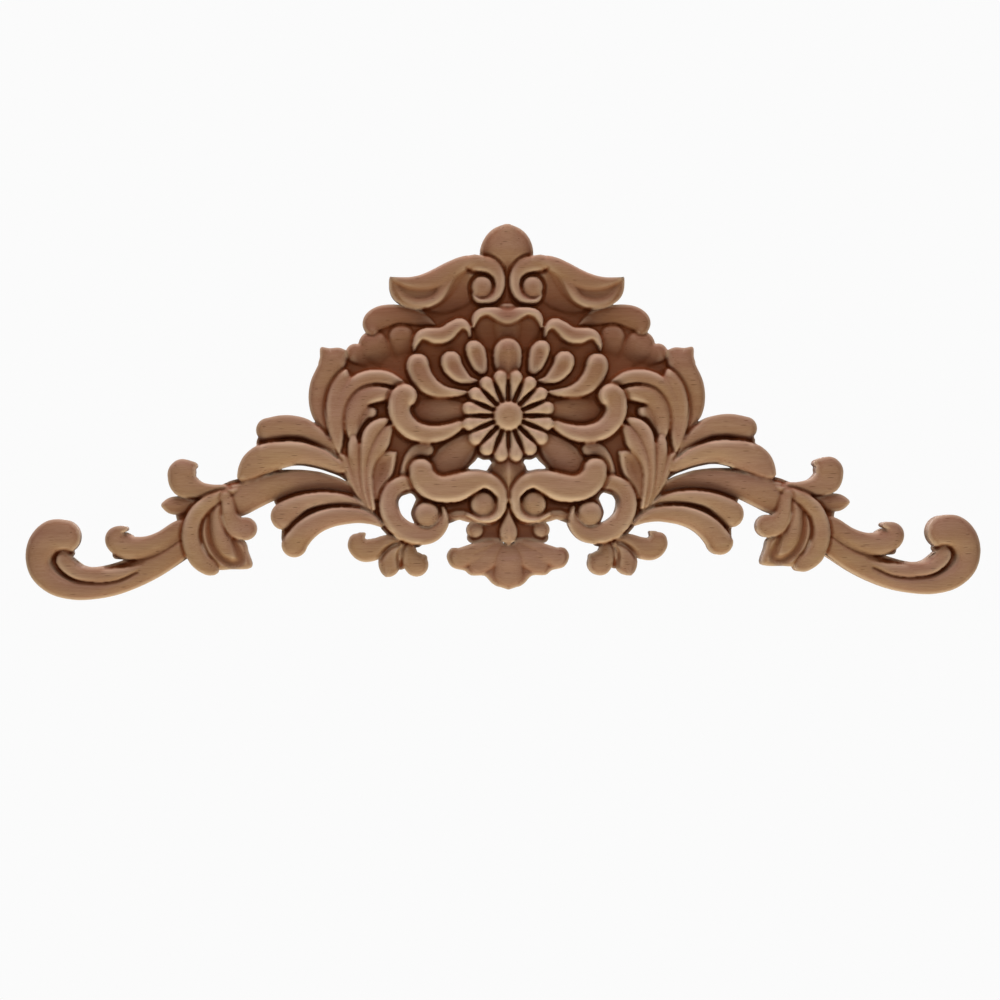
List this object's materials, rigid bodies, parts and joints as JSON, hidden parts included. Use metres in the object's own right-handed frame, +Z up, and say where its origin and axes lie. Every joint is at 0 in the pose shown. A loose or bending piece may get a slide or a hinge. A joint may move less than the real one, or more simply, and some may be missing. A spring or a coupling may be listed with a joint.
{
  "type": "carved wood applique",
  "caption": "Symmetric carved wood applique: scrolled acanthus arms around a petalled rosette, flat back for fixing to furniture, a door or a wall.",
  "frame": {"origin": "on the flat back, on the axis of symmetry, level with the centre of the rosette", "axes": "+X to the right along the length, +Y backwards into the surface that the applique is fixed to, +Z up"},
  "size_m": [0.4998, 0.0199, 0.1949],
  "materials": {
    "carved_wood": "matt, sanded and unfinished"
  },
  "bodies": {
    "root": {"applique": "carved_wood"}
  },
  "joints": []
}
